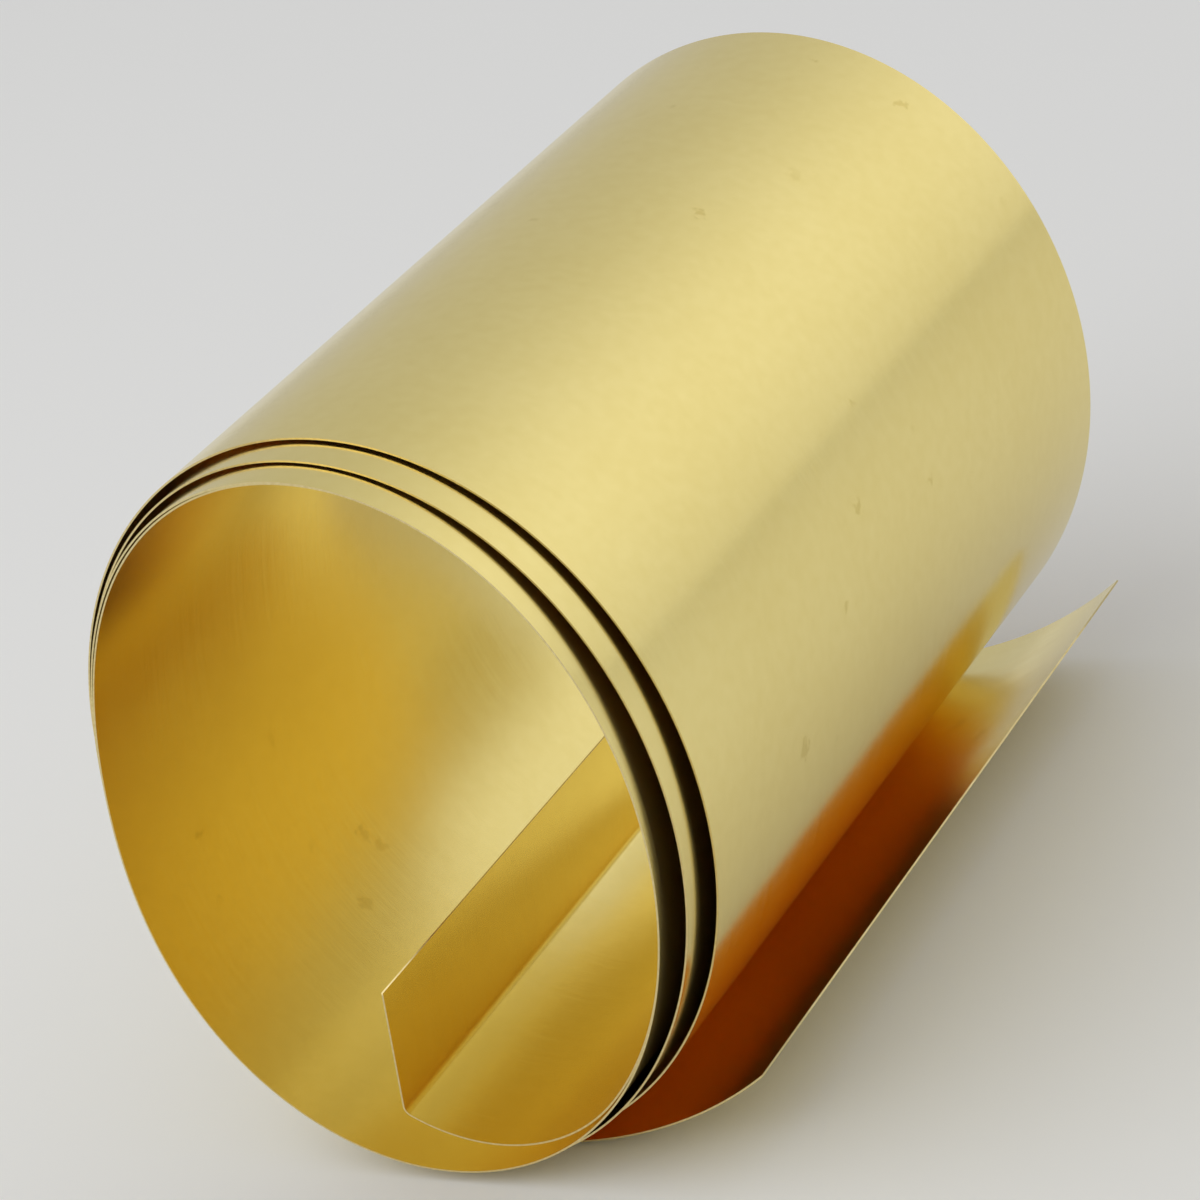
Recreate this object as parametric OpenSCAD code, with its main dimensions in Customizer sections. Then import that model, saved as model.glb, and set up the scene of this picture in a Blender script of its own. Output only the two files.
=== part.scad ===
// A roll of thin brass shim stock lying on its side. It is one strip, wound about four loose
// turns, with its inner end turned up as a tab and its outer end springing clear as a tail.
// Sizes are in millimetres. The axis runs along Y, the front end is at -Y and Z is up. The roll is
// drawn with its tall side upright, and then turned about its axis onto its tail, where it rests.

/* [Sheet] */
// Width of the sheet, along the axis of the roll
sheet_w = 150; // [50:1:300]
// Thickness of the sheet
sheet_t = 0.3; // [0.1:0.05:0.6]

/* [Roll] */
// Outside width of the wound turns
roll_w = 112; // [70:1:160]
// Outside height of the wound turns, a little more than the width
roll_h = 129; // [70:1:160]
// Turns from the crease of the tab to the start of the tail
turns = 4; // [3:0.05:6]
// Place of the crease round the axis, counter-clockwise from the right as seen from the front
start_angle = 277; // [250:1:290]

/* [Steps at the front end] */
// How far each loose turn stands forward of the next turn out
telescope = 6; // [0:0.1:8]
// Turns wound flush before the edge starts to step back
flush_turns = 1.6; // [0:0.1:2]
// How far the inner end stands back from the turn round it
inner_recess = 1.5; // [0:0.1:5]

/* [Gaps between turns] */
// Gap between the first turns, which are wound tight
gap_tight = 0.2; // [0.1:0.05:1]
// Angle by which the gaps are turned round the axis, counter-clockwise
gap_turn = 10; // [-30:1:30]

/* [Inner gap, round the tight turns] */
// Inner gap on the right
inner_right = 2.5; // [0.2:0.1:5]
// Inner gap at the top
inner_top = 0.3; // [0.2:0.1:5]
// Inner gap on the left
inner_left = 4; // [0.2:0.1:5]
// Inner gap at the bottom
inner_bottom = 0.3; // [0.2:0.1:5]

/* [Outer gap, under the last turn] */
// Outer gap on the right
outer_right = 1.8; // [0.2:0.1:5]
// Outer gap at the top
outer_top = 0.4; // [0.2:0.1:5]
// Outer gap on the left
outer_left = 4; // [0.2:0.1:5]
// Outer gap at the bottom
outer_bottom = 0.3; // [0.2:0.1:5]

/* [Inner tab] */
// Length of the flat tab at the inner end
tab_len = 22.5; // [5:0.5:35]
// Angle through which the tab is bent up from the wall
tab_angle = 68; // [30:1:90]
// Inside radius of the bend
tab_bend_r = 1.5; // [0.5:0.1:4]
// How far the inner end stands in from the wall at the bend
tab_lift = 8.5; // [0:0.5:15]
// Length of sheet over which it comes back to the wall
lift_len = 46; // [20:1:100]

/* [Outer tail] */
// Length of the tail along the sheet
tail_len = 67; // [20:1:120]
// Radius of the curve of the tail
tail_r = 84; // [70:1:200]
// Distance along the tail to the line on which the roll rests
rest_on = 14.5; // [0:0.5:20]

/* [Hidden] */
steps_per_turn = 80;
bend_steps = 8;
tail_steps = 16;
climb_soft = 0.04;
step_soft = 0.08;
mid_turn = turns - 0.5;
turn_len = PI * (roll_w + roll_h) / 2;
bend_mid_r = tab_bend_r + sheet_t / 2;
turn_steps = ceil(steps_per_turn * turns);

// Distance from the axis to the outside of the wound turns
function section_r(a) = 1 / sqrt(pow(cos(a) / (roll_w / 2), 2) + pow(sin(a) / (roll_h / 2), 2));

// Part of a gap named for direction d that is felt in direction a
function lobe(a, d) = pow(max(0, cos(a - d)), 2);

// Gap in direction a from its sizes on the right, at the top, on the left and at the bottom
function gap(a, sizes) = sizes * [for (k = [0 : 3]) lobe(a, gap_turn + 90 * k)];
inner_gap = [inner_right, inner_top, inner_left, inner_bottom];
outer_gap = [outer_right, outer_top, outer_left, outer_bottom];

// Step from 0 to 1, where the sheet climbs over the start of the turn under it
function climb(u, n) = 1 / (1 + exp((n - u) / climb_soft));

// Thickness built up after u turns, sheet and gaps together
function build_up(a, u) = u * (sheet_t + gap_tight)
    + climb(u, turns - 2) * (gap(a, inner_gap) - gap_tight)
    + climb(u, turns - 1) * (gap(a, outer_gap) - gap_tight);

// Turns wound since turn number n, easing in
function since(u, n) = step_soft * ln(1 + exp((u - n) / step_soft));

// How far the front edge has moved along the axis after u turns
function crept(u) = telescope * (since(u, flush_turns) - since(u, mid_turn)) + inner_recess * max(0, 1 - u);

// How far the sheet stands in from the wall near its inner end
function lift(u) = tab_lift * pow(max(0, 1 - u * turn_len / lift_len), 2);

// Middle of the sheet in the end view after u turns
function wound(u) = let (
    a = start_angle + 360 * u,
    r = section_r(a) - sheet_t / 2 - build_up(a, mid_turn) + build_up(a, u) - lift(u)
) r * [cos(a), sin(a)];

// Direction in which the sheet runs after u turns
function heading(u) = let (d = wound(u + 0.0005) - wound(u - 0.0005)) atan2(d[1], d[0]);

// A point on an arc that leaves a start point in direction h0 and has turned to direction h
function on_arc(start, r, h0, h) = start + r * [sin(h) - sin(h0), cos(h0) - cos(h)];

// The tab starts from the first wound point and runs back through the bend to its tip
h_in = heading(0);
h_tab = h_in - tab_angle;
bend_len = bend_mid_r * tab_angle * PI / 180;
bend_start = on_arc(wound(0), bend_mid_r, h_in, h_tab);
tab_tip = bend_start - tab_len * [cos(h_tab), sin(h_tab)];

// Stations along the sheet: place in the end view, direction, and turns wound
tab_stations = [[tab_tip, h_tab, -(tab_len + bend_len) / turn_len]];
bend_stations = [for (i = [0 : bend_steps - 1]) let (s = 1 - i / bend_steps, h = h_in - tab_angle * s)
    [on_arc(wound(0), bend_mid_r, h_in, h), h, -s * bend_len / turn_len]];
turn_stations = [for (i = [0 : turn_steps]) let (u = turns * i / turn_steps) [wound(u), heading(u), u]];
h_out = heading(turns);
tail_stations = [for (i = [1 : tail_steps])
    let (s = tail_len * i / tail_steps, h = h_out + s / tail_r * 180 / PI)
    [on_arc(wound(turns), tail_r, h_out, h), h, turns + s / turn_len]];
stations = concat(tab_stations, bend_stations, turn_stations, tail_stations);
last = len(stations) - 1;

// Direction of the tail where the roll rests, which is level once it is turned
lie_angle = h_out + rest_on / tail_r * 180 / PI;

// A point of the end view, turned clockwise about the axis onto the tail
function laid(p) = [p[0] * cos(lie_angle) + p[1] * sin(lie_angle),
    p[1] * cos(lie_angle) - p[0] * sin(lie_angle)];

// One corner of the sheet at a station: side -1 is the outer face, +1 the inner face
function corner(s, side, y) = let (p = laid(s[0] + side * sheet_t / 2 * [-sin(s[1]), cos(s[1])]))
    [p[0], y + crept(s[2]), p[1]];

raw = [for (s = stations) each
    [corner(s, -1, 0), corner(s, 1, 0), corner(s, 1, sheet_w), corner(s, -1, sheet_w)]];

// Lowest and middle values, so the origin is at the bottom centre of the part
function axis_of(k) = [for (p = raw) p[k]];
mid_x = (min(axis_of(0)) + max(axis_of(0))) / 2;
mid_y = (min(axis_of(1)) + max(axis_of(1))) / 2;
low_z = min(axis_of(2));
points = [for (p = raw) p - [mid_x, mid_y, low_z]];

side_faces = [for (i = [0 : last - 1], k = [0 : 3]) let (a = 4 * i + k, b = 4 * i + (k + 1) % 4)
    each [[a, b, b + 4], [a, b + 4, a + 4]]];
end_faces = [[0, 3, 2, 1], [4 * last, 4 * last + 1, 4 * last + 2, 4 * last + 3]];

// The wound sheet, one piece of brass
module brass_sheet() {
    color([0.78, 0.68, 0.36])
        polyhedron(points = points, faces = concat(side_faces, end_faces), convexity = 12);
}

brass_sheet();
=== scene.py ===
# %% [markdown]
# # A roll of brass shim stock
# Shim stock is thin metal sheet that a fitter cuts into spacers. It is kept as a loose roll: one
# strip of brass, wound about four turns, with its inner end bent up and its outer end springing
# clear. The imported model gives the frame that everything sits in, in metres.

# %% Load the frame
import math
import bmesh
import bpy
from mathutils import Matrix, Quaternion, Vector


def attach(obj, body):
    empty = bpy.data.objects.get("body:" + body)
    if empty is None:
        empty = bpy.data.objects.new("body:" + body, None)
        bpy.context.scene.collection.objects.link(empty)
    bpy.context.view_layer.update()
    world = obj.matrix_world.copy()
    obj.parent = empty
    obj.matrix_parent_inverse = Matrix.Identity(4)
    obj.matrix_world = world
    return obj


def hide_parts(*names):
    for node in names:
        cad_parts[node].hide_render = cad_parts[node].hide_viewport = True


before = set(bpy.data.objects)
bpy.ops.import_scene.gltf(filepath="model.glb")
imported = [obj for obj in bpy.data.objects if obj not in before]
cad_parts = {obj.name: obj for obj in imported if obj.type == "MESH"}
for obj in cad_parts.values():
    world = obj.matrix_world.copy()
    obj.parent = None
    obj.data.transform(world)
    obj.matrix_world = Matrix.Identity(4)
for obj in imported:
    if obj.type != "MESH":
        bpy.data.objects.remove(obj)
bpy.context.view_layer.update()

# %% [markdown]
# ## The sizes of the roll
# The sheet is 150 mm wide and 0.3 mm thick. Wound up, it is a little oval, as a loose roll is. The
# first turns are wound tight. The last two are loose, and each has its own gap, which is wide at
# the sides and narrow at the top and bottom. Their front edges step back from turn to turn. Angles
# are measured round the axis, counter-clockwise from the right as seen from the front, before the
# roll is laid down.

# %% Sizes
mm = 0.001
sheet_width, sheet_thickness = 150 * mm, 0.3 * mm
roll_width, roll_height = 112 * mm, 129 * mm
turns, crease_angle, tight_gap = 4, 277, 0.2 * mm
inner_gap = {10: 2.5 * mm, 100: 0.3 * mm, 190: 4 * mm, 280: 0.3 * mm}
outer_gap = {10: 1.8 * mm, 100: 0.4 * mm, 190: 4 * mm, 280: 0.3 * mm}
step_back, flush_turns, inner_recess = 6 * mm, 1.6, 1.5 * mm
tab_length, tab_angle, tab_bend_radius = 22.5 * mm, math.radians(68), 1.65 * mm
tab_lift, lift_length = 8.5 * mm, 46 * mm
tail_length, tail_radius, rest_on_tail = 67 * mm, 84 * mm, 14.5 * mm
turn_length = math.pi * (roll_width + roll_height) / 2
last_turn_middle = turns - 0.5
print("one turn takes about", round(turn_length / mm), "mm of sheet")

# %% [markdown]
# ## The path of the sheet in the end view
# Seen from the end, the sheet is one line that winds outwards. It could be drawn as a plain
# spiral, but on a real loose roll the gaps differ all round. So the radius at each angle is the
# outside of the roll, less the sheet and gaps that lie outside that turn. Near the crease the
# sheet also stands in from the wall, because the bent end pulls it up.

# %% Radius of the roll
def outside_radius(angle):
    across = math.cos(angle) / (roll_width / 2)
    upright = math.sin(angle) / (roll_height / 2)
    return 1 / math.hypot(across, upright)


print("radius on the right", round(outside_radius(0) / mm, 1), "mm")

# %% Thickness of the layers
climb_softness = 0.04


def gap_at(angle, gaps):
    return sum(gap * max(0, math.cos(angle - math.radians(side))) ** 2
               for side, gap in gaps.items())


def climb(wound_turns, turn):
    return 1 / (1 + math.exp((turn - wound_turns) / climb_softness))


def built_up(angle, wound_turns):
    middle, outermost = climb(wound_turns, turns - 2), climb(wound_turns, turns - 1)
    return (wound_turns * (sheet_thickness + tight_gap)
            + middle * (gap_at(angle, inner_gap) - tight_gap)
            + outermost * (gap_at(angle, outer_gap) - tight_gap))


print("layers on the right", round(built_up(0, turns) / mm, 2), "mm,",
      "at the top", round(built_up(math.pi / 2, turns) / mm, 2), "mm")


# %% Point and direction after some turns
small_step = 0.0005


def wound_point(wound_turns):
    angle = math.radians(crease_angle) + math.tau * wound_turns
    lift = tab_lift * max(0, 1 - wound_turns * turn_length / lift_length) ** 2
    outer_layers = built_up(angle, last_turn_middle) - built_up(angle, wound_turns)
    radius = outside_radius(angle) - sheet_thickness / 2 - outer_layers - lift
    return Vector((radius * math.cos(angle), radius * math.sin(angle)))


def wound_heading(wound_turns):
    ahead = wound_point(wound_turns + small_step) - wound_point(wound_turns - small_step)
    return math.atan2(ahead.y, ahead.x)


print("crease of the tab at", [round(c / mm, 1) for c in wound_point(0)], "mm from the axis")

# %% [markdown]
# ## Stations along the sheet
# The sheet is followed from the tip of the tab to the tip of the tail. The stations lie close
# together in the sharp bend of the tab and wider apart elsewhere. On the turns there are enough to
# look smooth in polished metal, where every flat step would show as a stripe. Each station holds
# its point, its heading and the turns wound so far, which also say how far the sheet has crept
# along the axis.

# %% Tab and bend
tab_steps, bend_steps, steps_per_turn, tail_steps = 24, 12, 360, 64


def arc_point(start, radius, start_heading, heading):
    return start + radius * Vector((math.sin(heading) - math.sin(start_heading),
                                    math.cos(start_heading) - math.cos(heading)))


inner_heading = wound_heading(0)
tab_heading = inner_heading - tab_angle
bend_length = tab_bend_radius * tab_angle
bend_start = arc_point(wound_point(0), tab_bend_radius, inner_heading, tab_heading)
tab_direction = Vector((math.cos(tab_heading), math.sin(tab_heading)))
stations = []
for step in range(tab_steps):
    left = tab_length * (1 - step / tab_steps)
    stations.append((bend_start - left * tab_direction, tab_heading,
                     -(left + bend_length) / turn_length))
for step in range(bend_steps):
    share = 1 - step / bend_steps
    heading = inner_heading - tab_angle * share
    stations.append((arc_point(wound_point(0), tab_bend_radius, inner_heading, heading), heading,
                     -share * bend_length / turn_length))
print(len(stations), "stations on the tab and its bend")

# %% Turns and tail
outer_heading = wound_heading(turns)
for step in range(turns * steps_per_turn + 1):
    wound_turns = step / steps_per_turn
    stations.append((wound_point(wound_turns), wound_heading(wound_turns), wound_turns))
for step in range(1, tail_steps + 1):
    out = tail_length * step / tail_steps
    heading = outer_heading + out / tail_radius
    stations.append((arc_point(wound_point(turns), tail_radius, outer_heading, heading), heading,
                     turns + out / turn_length))
print(len(stations), "stations in all")

# %% [markdown]
# ## The flat sheet, wound up
# The mill rolls the strip flat, and it is wound afterwards, so the model does the same. A grid of
# one column per station is the flat sheet. Each point keeps its place on the flat sheet, along and
# across, because the finish follows the strip and not the room. Then every column moves to its
# station. Extruding an edge from station to station would give the same faces more slowly.

# %% Cut the flat sheet
width_steps, grid_half = 6, 0.5
sheet = bmesh.new()
bmesh.ops.create_grid(sheet, x_segments=len(stations) - 1, y_segments=width_steps,
                      size=grid_half)
along = sheet.verts.layers.float.new("along")
across = sheet.verts.layers.float.new("across")


def column_of(point):
    return round((point.co.x + grid_half) * (len(stations) - 1))


run = [0.0]
for before, after in zip(stations, stations[1:]):
    run.append(run[-1] + (after[0] - before[0]).length)
for point in sheet.verts:
    point[along] = run[column_of(point)]
    point[across] = (point.co.y + grid_half) * sheet_width
print("flat sheet", round(run[-1], 3), "by", sheet_width, "m")

# %% Wind it up
step_softness = 0.08


def turns_since(wound_turns, turn):
    return step_softness * math.log1p(math.exp((wound_turns - turn) / step_softness))


def crept(wound_turns):
    stepped = turns_since(wound_turns, flush_turns) - turns_since(wound_turns, last_turn_middle)
    return step_back * stepped + inner_recess * max(0, 1 - wound_turns)


for point in sheet.verts:
    place, heading, wound_turns = stations[column_of(point)]
    outer_side = Vector((math.sin(heading), -math.cos(heading))) * sheet_thickness / 2
    point.co = (place.x + outer_side.x, point[across] + crept(wound_turns), place.y + outer_side.y)
sheet.normal_update()
print("wound", len(sheet.verts), "points,", len(sheet.faces), "faces")

# %% [markdown]
# ## The thickness and the cut edges
# So far the sheet is only its outer face. Solidify gives it the 0.3 mm of the metal, inwards, and
# closes the rim. A Solidify modifier would do as well, but the rim is needed here: the sheared
# edges have a finish of their own and a sharp border. Solidify leaves the faces of the rim in no
# fixed order, so they are sorted along the strip, and every run makes the same mesh.

# %% Give the sheet its thickness
cubic_cm = 1e-6
sheet.faces.ensure_lookup_table()
top_face = max(sheet.faces, key=lambda face: face.calc_center_median().z)
if top_face.normal.z < 0:
    bmesh.ops.reverse_faces(sheet, faces=sheet.faces[:])
bmesh.ops.solidify(sheet, geom=sheet.faces[:], thickness=sheet_thickness)
print("solid sheet,", len(sheet.faces), "faces, volume",
      round(sheet.calc_volume(signed=True) / cubic_cm, 2), "cm3")

# %% Mark the rim
face_slot, edge_slot = 0, 1
same_place = 1e-6


def on_rim(face):
    runs = [point[along] for point in face.verts]
    widths = [point[across] for point in face.verts]
    return max(runs) - min(runs) < same_place or max(widths) - min(widths) < same_place


flat_map = sheet.loops.layers.uv.new("flat_sheet")
for face in sheet.faces:
    face.smooth = True
    face.material_index = edge_slot if on_rim(face) else face_slot
    for corner in face.loops:
        corner[flat_map].uv = (corner.vert[along], corner.vert[across])
for edge in sheet.edges:
    edge.smooth = len({face.material_index for face in edge.link_faces}) == 1
print("sharp edges", sum(not edge.smooth for edge in sheet.edges))

# %% Put the rim in order
def along_the_rim(face):
    return (sum(point[along] for point in face.verts), sum(point[across] for point in face.verts))


flat_faces = [face for face in sheet.faces if face.material_index == face_slot]
rim_faces = [face for face in sheet.faces if face.material_index == edge_slot]
for index, face in enumerate(flat_faces + sorted(rim_faces, key=along_the_rim)):
    face.index = index
sheet.faces.sort()
print("rim faces", len(rim_faces))

# %% [markdown]
# ## One piece in the frame
# The roll does not stand upright on the narrow end of its oval: it turns until it rests on its
# tail. So it is turned about its axis until the tail is level at the line of rest, and set on the
# floor with its box centred over the origin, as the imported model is. The finished sheet stands for
# that model's sheet, rides on its only body and takes the brass finish.

# %% Lay the roll on its tail
lie_angle = outer_heading + rest_on_tail / tail_radius
bmesh.ops.rotate(sheet, verts=sheet.verts[:], cent=(0, 0, 0),
                 matrix=Matrix.Rotation(lie_angle, 3, "Y"))
print("turned by", round(math.degrees(lie_angle), 2), "degrees")

# %% Place the sheet
low = [min(point.co[axis] for point in sheet.verts) for axis in range(3)]
high = [max(point.co[axis] for point in sheet.verts) for axis in range(3)]
bmesh.ops.translate(sheet, verts=sheet.verts[:],
                    vec=(-(low[0] + high[0]) / 2, -(low[1] + high[1]) / 2, -low[2]))
sheet_mesh = bpy.data.meshes.new("wound_sheet")
sheet.to_mesh(sheet_mesh)
sheet.free()
wound_sheet = bpy.data.objects.new("wound_sheet", sheet_mesh)
bpy.context.scene.collection.objects.link(wound_sheet)
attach(wound_sheet, "root")
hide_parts("brass_sheet")
print("wound sheet", [round(h - l, 4) for l, h in zip(low, high)], "m")

# %% [markdown]
# ## The lines of the rolling mill
# Brass strip leaves the rolling mill with a satin face: very fine lines along the strip, where the
# rolls dragged. Both the face and the cut edges use the lines, so they are a node group. It reads
# the flat map and draws a noise out along the strip, so that its grains become lines. An image of
# scratches would do too, but it would show its repeats.

# %% Rolling lines
def add_node(nodes, kind, inputs=None, **settings):
    made = nodes.new(kind)
    for name, value in settings.items():
        setattr(made, name, value)
    for name, value in (inputs or {}).items():
        made.inputs[name].default_value = value
    return made


lines = bpy.data.node_groups.new("rolling_lines", "ShaderNodeTree")
for name, value in (("Lines per metre", 2500.0), ("Length of a line", 0.06)):
    wanted = lines.interface.new_socket(name=name, socket_type="NodeSocketFloat", in_out="INPUT")
    wanted.default_value = value
lines.interface.new_socket(name="Lines", socket_type="NodeSocketFloat", in_out="OUTPUT")
lines_in = add_node(lines.nodes, "NodeGroupInput")
lines_out = add_node(lines.nodes, "NodeGroupOutput")
flat = add_node(lines.nodes, "ShaderNodeUVMap", uv_map="flat_sheet")
per_length = add_node(lines.nodes, "ShaderNodeMath", {0: 1.0}, operation="DIVIDE")
stretch = add_node(lines.nodes, "ShaderNodeCombineXYZ", {"Z": 1.0})
drawn_out = add_node(lines.nodes, "ShaderNodeVectorMath", operation="MULTIPLY")
line_noise = add_node(lines.nodes, "ShaderNodeTexNoise",
                      {"Scale": 1.0, "Detail": 3.0, "Roughness": 0.6}, noise_dimensions="2D")
print("node group", lines.name, "with", len(lines.nodes), "nodes")

# %% Wire up the lines
lines.links.new(lines_in.outputs["Length of a line"], per_length.inputs[1])
lines.links.new(per_length.outputs["Value"], stretch.inputs["X"])
lines.links.new(lines_in.outputs["Lines per metre"], stretch.inputs["Y"])
lines.links.new(flat.outputs["UV"], drawn_out.inputs[0])
lines.links.new(stretch.outputs["Vector"], drawn_out.inputs[1])
lines.links.new(drawn_out.outputs["Vector"], line_noise.inputs["Vector"])
lines.links.new(line_noise.outputs["Fac"], lines_out.inputs["Lines"])
print(len(lines.links), "links in the group")

# %% [markdown]
# ## The brass face
# Brass is metal, so its colour is the colour of what it reflects. The base is pale gold. Reflected
# again and again, as in the bore and under the tail, it deepens to brown by itself, and no shade
# is painted there. Soft clouds, where the oil dried, and a fine grain change the colour slightly.

# %% Brass material
def new_material(name):
    material = bpy.data.materials.new(name)
    material.use_nodes = True
    return material, material.node_tree.nodes, material.node_tree.links


def ramp(nodes, low_stop, high_stop):
    made = nodes.new("ShaderNodeValToRGB")
    for element, (position, colour) in zip(made.color_ramp.elements, (low_stop, high_stop)):
        element.position, element.color = position, (*colour, 1)
    return made


deep_gold, pale_gold = (0.91, 0.752, 0.285), (0.945, 0.792, 0.32)
brass, nodes, links = new_material("satin_brass")
face_shader = nodes["Principled BSDF"]
face_shader.inputs["Metallic"].default_value = 1.0
on_roll = add_node(nodes, "ShaderNodeTexCoord")
clouds = add_node(nodes, "ShaderNodeTexNoise", {"Scale": 28.0, "Detail": 4.0})
grain = add_node(nodes, "ShaderNodeTexNoise", {"Scale": 420.0, "Detail": 2.0})
grain_on_clouds = add_node(nodes, "ShaderNodeMix", {"Factor": 0.45}, data_type="FLOAT")
face_colour = ramp(nodes, (0.35, deep_gold), (0.65, pale_gold))
links.new(on_roll.outputs["Object"], clouds.inputs["Vector"])
links.new(on_roll.outputs["Object"], grain.inputs["Vector"])
links.new(clouds.outputs["Fac"], grain_on_clouds.inputs["A"])
links.new(grain.outputs["Fac"], grain_on_clouds.inputs["B"])
links.new(grain_on_clouds.outputs["Result"], face_colour.inputs["Fac"])
print("brass face material", brass.name)

# %% [markdown]
# ## Specks and rub marks
# A sheet that has been handled has a few tiny specks and rub marks, a little darker than the clean
# metal. They could be painted by hand, but a pattern can be changed with one number. Here a cell
# pattern on the flat map gives one spot to each cell. Its random colour says how large the spot
# is, and most are too small to show. A noise makes their outlines ragged, and a broad one keeps
# them in patches.

# %% Specks
speck_spacing = 1 / 90
on_sheet = add_node(nodes, "ShaderNodeUVMap", uv_map="flat_sheet")
ragged = add_node(nodes, "ShaderNodeTexNoise", {"Scale": 700.0}, noise_dimensions="2D")
shifted = add_node(nodes, "ShaderNodeVectorMath", {1: (0.0035, 0.0035, 0.0)},
                   operation="MULTIPLY_ADD")
specks = add_node(nodes, "ShaderNodeTexVoronoi", {"Scale": 1 / speck_spacing},
                  voronoi_dimensions="2D")
speck_size = add_node(nodes, "ShaderNodeMath", {1: 0.5, 2: -0.29}, operation="MULTIPLY_ADD")
inside = add_node(nodes, "ShaderNodeMath", operation="SUBTRACT")
speck = add_node(nodes, "ShaderNodeMapRange", {"From Max": 0.08}, interpolation_type="SMOOTHSTEP")
links.new(on_sheet.outputs["UV"], ragged.inputs["Vector"])
links.new(on_sheet.outputs["UV"], shifted.inputs[2])
links.new(ragged.outputs["Color"], shifted.inputs[0])
links.new(shifted.outputs["Vector"], specks.inputs["Vector"])
links.new(specks.outputs["Color"], speck_size.inputs[0])
links.new(speck_size.outputs["Value"], inside.inputs[0])
links.new(specks.outputs["Distance"], inside.inputs[1])
links.new(inside.outputs["Value"], speck.inputs["Value"])
print("one cell of specks is", round(speck_spacing / mm, 1), "mm across")

# %% Patches that were handled
mark_gold, handled_from, handled_to = (0.82, 0.66, 0.225, 1), 0.48, 0.6
handled = add_node(nodes, "ShaderNodeTexNoise", {"Scale": 16.0}, noise_dimensions="2D")
handled_area = add_node(nodes, "ShaderNodeMapRange",
                        {"From Min": handled_from, "From Max": handled_to},
                        interpolation_type="SMOOTHSTEP")
mark = add_node(nodes, "ShaderNodeMath", operation="MULTIPLY")
marked_colour = add_node(nodes, "ShaderNodeMix", {"B": mark_gold}, data_type="RGBA")
links.new(on_sheet.outputs["UV"], handled.inputs["Vector"])
links.new(handled.outputs["Fac"], handled_area.inputs["Value"])
links.new(speck.outputs["Result"], mark.inputs[0])
links.new(handled_area.outputs["Result"], mark.inputs[1])
links.new(mark.outputs["Value"], marked_colour.inputs["Factor"])
links.new(face_colour.outputs["Color"], marked_colour.inputs["A"])
links.new(marked_colour.outputs["Result"], face_shader.inputs["Base Color"])
print("marks fade in where the broad noise goes from", handled_from, "to", handled_to)

# %% [markdown]
# ## The satin and the soft waves
# How far a reflection is spread is the roughness. The rolled lines vary it, and the first turn,
# where a hand reaches in, is a little duller. The lines also stand up by a trace, and a thin sheet
# is never quite even, so broad shallow waves bend the reflections a little. Both are far too
# shallow to be modelled, so they are bumps.

# %% Roughness
smooth_line, rough_line = 0.15, 0.20
rubbed_until, clean_from, rubbed_more = 0.42, 0.6, 0.06
rolled = add_node(nodes, "ShaderNodeGroup", node_tree=lines)
rolled.inputs["Lines per metre"].default_value = 2600.0
rolled.inputs["Length of a line"].default_value = 0.05
rough = add_node(nodes, "ShaderNodeMapRange", {"From Min": 0.3, "From Max": 0.7,
                                               "To Min": smooth_line, "To Max": rough_line})
along_sheet = add_node(nodes, "ShaderNodeSeparateXYZ")
rubbed = add_node(nodes, "ShaderNodeMapRange", {"From Min": rubbed_until, "From Max": clean_from,
                                                "To Min": rubbed_more, "To Max": 0.0},
                  interpolation_type="SMOOTHSTEP")
rougher = add_node(nodes, "ShaderNodeMath", operation="ADD")
links.new(rolled.outputs["Lines"], rough.inputs["Value"])
links.new(on_sheet.outputs["UV"], along_sheet.inputs["Vector"])
links.new(along_sheet.outputs["X"], rubbed.inputs["Value"])
links.new(rough.outputs["Result"], rougher.inputs[0])
links.new(rubbed.outputs["Result"], rougher.inputs[1])
links.new(rougher.outputs["Value"], face_shader.inputs["Roughness"])
print("roughness from", smooth_line, "to", rough_line, "and", rubbed_more, "more where rubbed")

# %% Lines and waves as bumps
line_bump = add_node(nodes, "ShaderNodeBump", {"Strength": 0.03, "Distance": 0.1 * mm})
waves = add_node(nodes, "ShaderNodeTexNoise", {"Scale": 40.0, "Detail": 1.0})
wave_bump = add_node(nodes, "ShaderNodeBump", {"Distance": 0.08 * mm})
links.new(rolled.outputs["Lines"], line_bump.inputs["Height"])
links.new(on_roll.outputs["Object"], waves.inputs["Vector"])
links.new(waves.outputs["Fac"], wave_bump.inputs["Height"])
links.new(wave_bump.outputs["Normal"], line_bump.inputs["Normal"])
links.new(line_bump.outputs["Normal"], face_shader.inputs["Normal"])
sheet_mesh.materials.append(brass)
print("face finish in slot", face_slot, "with", len(nodes), "nodes")

# %% [markdown]
# ## The cut edges
# The strip is slit by round knives, which leave a plain sheared edge. It is the same metal, a
# little duller and rougher than the face, with short marks across the thickness. They come from
# the same group of lines, set to be short and far apart.

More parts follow.
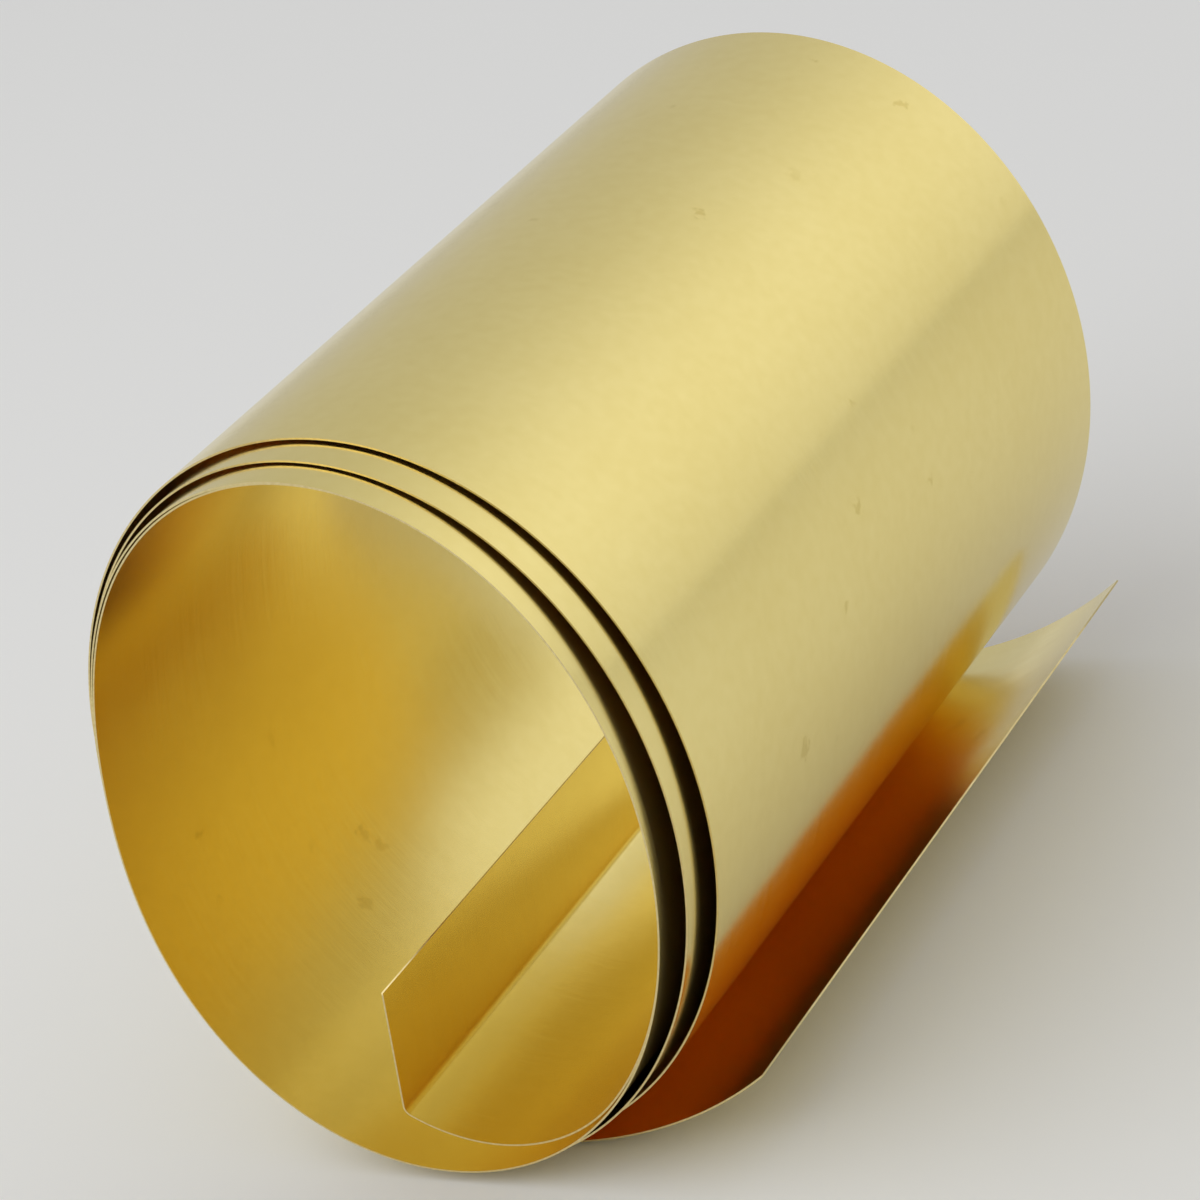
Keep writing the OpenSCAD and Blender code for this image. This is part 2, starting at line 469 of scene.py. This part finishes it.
# %% Cut edge material
dull_edge, bright_edge, edge_roughness = (0.70, 0.56, 0.25), (0.82, 0.69, 0.36), 0.42
edge_brass, edge_nodes, edge_links = new_material("cut_edge_brass")
edge_shader = edge_nodes["Principled BSDF"]
edge_shader.inputs["Metallic"].default_value = 1.0
edge_shader.inputs["Roughness"].default_value = edge_roughness
edge_lines = add_node(edge_nodes, "ShaderNodeGroup", node_tree=lines)
edge_lines.inputs["Lines per metre"].default_value = 300.0
edge_lines.inputs["Length of a line"].default_value = 0.0008
edge_colour = ramp(edge_nodes, (0.3, dull_edge), (0.7, bright_edge))
edge_links.new(edge_lines.outputs["Lines"], edge_colour.inputs["Fac"])
edge_links.new(edge_colour.outputs["Color"], edge_shader.inputs["Base Color"])
sheet_mesh.materials.append(edge_brass)
print("cut edge finish in slot", edge_slot)

# %% [markdown]
# ## The floor and the room
# Metal shows the room round it. A pale satin floor and an even pale room give the quiet tones, and
# a broad glow in the room, as from a window behind the roll, gives the long highlight on its upper
# side. A lamp could make that highlight, but it would also light the floor beneath it, and the
# floor shows in the metal. Nothing is lit beyond the level at which a colour renders about as it
# is written.

# %% Floor
floor_reach, floor_colour, floor_roughness = 4.0, (0.86, 0.86, 0.85, 1), 0.5
floor_mesh = bpy.data.meshes.new("floor")
ground = bmesh.new()
bmesh.ops.create_grid(ground, x_segments=1, y_segments=1, size=floor_reach)
ground.to_mesh(floor_mesh)
ground.free()
floor = bpy.data.objects.new("floor", floor_mesh)
bpy.context.scene.collection.objects.link(floor)
floor_paint, floor_nodes, _ = new_material("pale_floor")
floor_nodes["Principled BSDF"].inputs["Base Color"].default_value = floor_colour
floor_nodes["Principled BSDF"].inputs["Roughness"].default_value = floor_roughness
floor_mesh.materials.append(floor_paint)
print("floor", 2 * floor_reach, "m square")

# %% Room with a glow
wall_light, glow_light, glow_falloff = 0.53, 0.37, 5.0
window = Vector((0.5, 0.729, 0.467)).normalized()
room = bpy.data.worlds.new("pale_room")
bpy.context.scene.world = room
room.use_nodes = True
room_nodes, room_links = room.node_tree.nodes, room.node_tree.links
room_nodes["Background"].inputs["Color"].default_value = (1.0, 1.0, 1.0, 1)
sight = add_node(room_nodes, "ShaderNodeTexCoord")
towards_window = add_node(room_nodes, "ShaderNodeVectorMath", {1: window}, operation="DOT_PRODUCT")
facing = add_node(room_nodes, "ShaderNodeMath", {1: 0.0}, operation="MAXIMUM")
falling_off = add_node(room_nodes, "ShaderNodeMath", {1: glow_falloff}, operation="POWER")
glow = add_node(room_nodes, "ShaderNodeMath", {1: glow_light, 2: wall_light},
                operation="MULTIPLY_ADD")
room_links.new(sight.outputs["Generated"], towards_window.inputs[0])
room_links.new(towards_window.outputs["Value"], facing.inputs[0])
room_links.new(facing.outputs["Value"], falling_off.inputs[0])
room_links.new(falling_off.outputs["Value"], glow.inputs[0])
room_links.new(glow.outputs["Value"], room_nodes["Background"].inputs["Strength"])
print("room from", wall_light, "to", wall_light + glow_light)

# %% [markdown]
# ## The lamp
# One large soft lamp at the front left lights the floor and gives the roll a soft shadow, so that
# it stands on the floor and does not float. It is far enough away to light the floor evenly. A
# small strong lamp would show in the metal as a white bar. This one is large and weak, so its
# reflection stays pale gold. Light goes round between the turns many times, so it is followed
# through more bounces than Blender's usual few.

# %% Front lamp
most_bounces = 24
lamp_place, lamp_side, lamp_watts = Vector((-0.84, -0.96, 1.5)), 2.4, 17.5
light = bpy.data.lights.new("front_lamp", "AREA")
light.shape = "RECTANGLE"
light.size, light.size_y = lamp_side, lamp_side
light.energy = lamp_watts
lamp = bpy.data.objects.new("front_lamp", light)
lamp.location = lamp_place
lamp.rotation_euler = (-lamp_place).to_track_quat("-Z", "Y").to_euler()
bpy.context.scene.collection.objects.link(lamp)
bpy.context.scene.view_settings.view_transform = "Standard"
bpy.context.scene.cycles.glossy_bounces = most_bounces
bpy.context.scene.cycles.max_bounces = most_bounces
print("lamp", lamp.name, "at", round(lamp_place.length, 2), "m")

# %% [markdown]
# ## The camera
# The picture is taken from the front right and from above, close enough that the front end looks
# larger than the back. The camera is tilted with the roll, so that the tall side of its oval
# stands upright in the picture.

# %% Camera
turned, raised, tilted = math.radians(36.668), math.radians(24.381), math.radians(18.563)
distance, aim = 0.567827, Vector((0.027258, -0.039209, 0.082489))
towards_camera = Vector((math.sin(turned) * math.cos(raised),
                         -math.cos(turned) * math.cos(raised), math.sin(raised)))
view = bpy.data.cameras.new("view")
view.sensor_width, view.lens = 36.0, 111.051
view.clip_start = 0.01
camera = bpy.data.objects.new("view", view)
camera.location = aim + towards_camera * distance
level_view = (-towards_camera).to_track_quat("-Z", "Y")
camera.rotation_euler = (level_view @ Quaternion((0, 0, 1), -tilted)).to_euler()
bpy.context.scene.collection.objects.link(camera)
bpy.context.scene.camera = camera
print("camera at", [round(c, 3) for c in camera.location])
